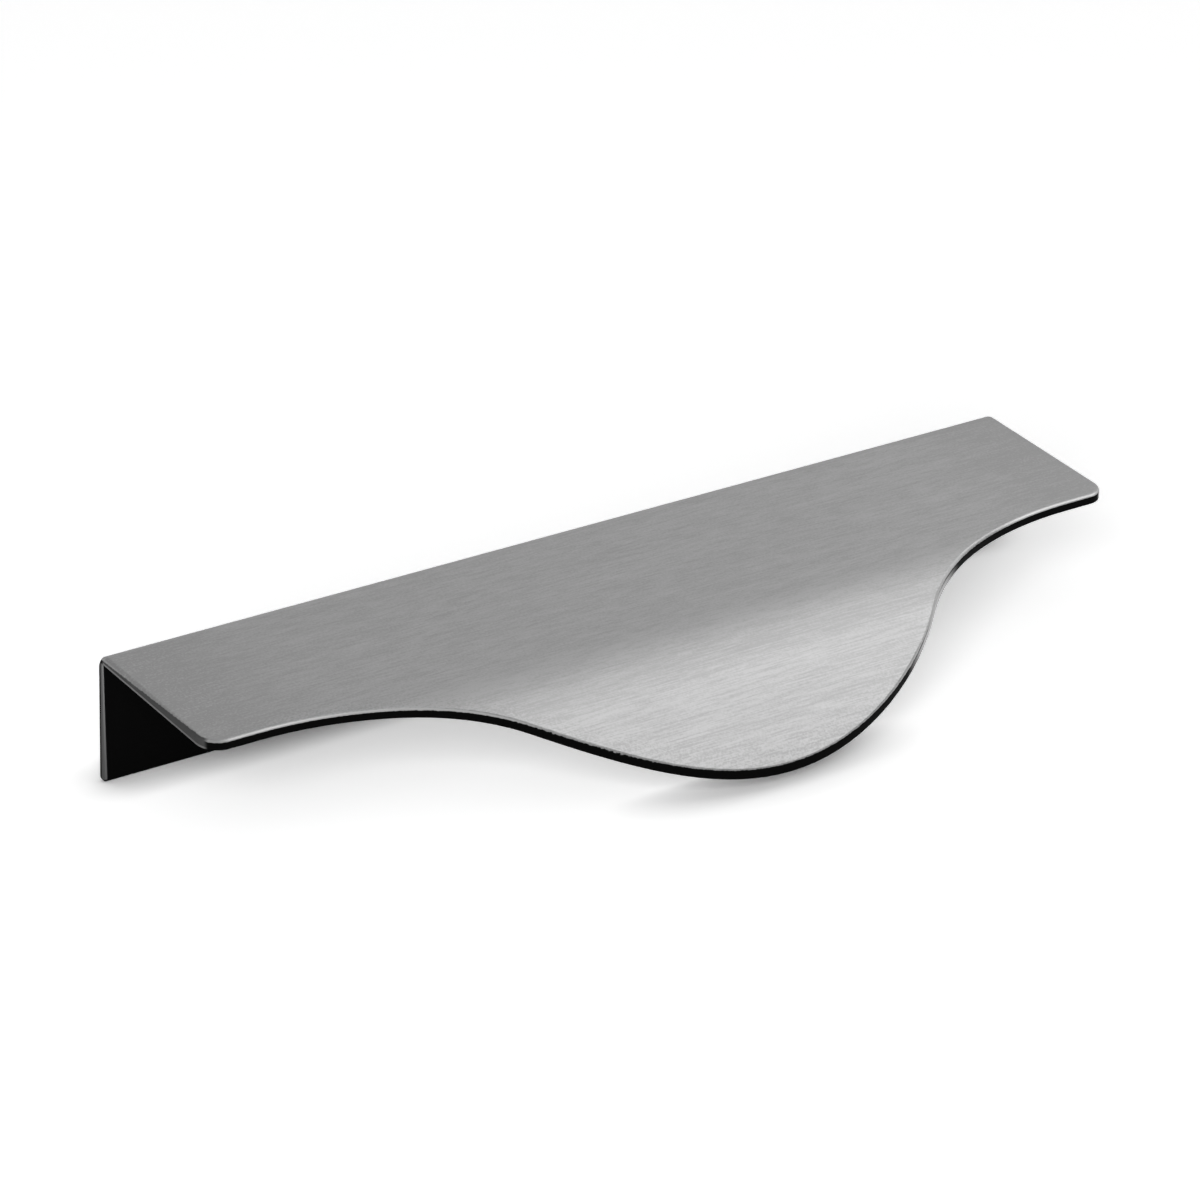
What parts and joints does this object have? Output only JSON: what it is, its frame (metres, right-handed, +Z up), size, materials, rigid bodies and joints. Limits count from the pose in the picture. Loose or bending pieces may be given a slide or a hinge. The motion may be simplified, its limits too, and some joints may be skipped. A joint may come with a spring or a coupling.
{
  "type": "cabinet edge pull",
  "caption": "Metal edge pull: a flange screws behind a door or drawer front, a flat plate lies on its top edge, and a bell-shaped tongue curves down in front as a finger grip.",
  "frame": {"origin": "middle of the screw row, on the flange face that touches the back of the door or drawer front", "axes": "+X along the pull, -Y towards the room, +Z up"},
  "size_m": [0.15, 0.0585, 0.0199],
  "materials": {
    "brushed_metal": "brushed along the length, dark grey anodised"
  },
  "bodies": {
    "root": {"pull_plate": "brushed_metal"}
  },
  "joints": []
}
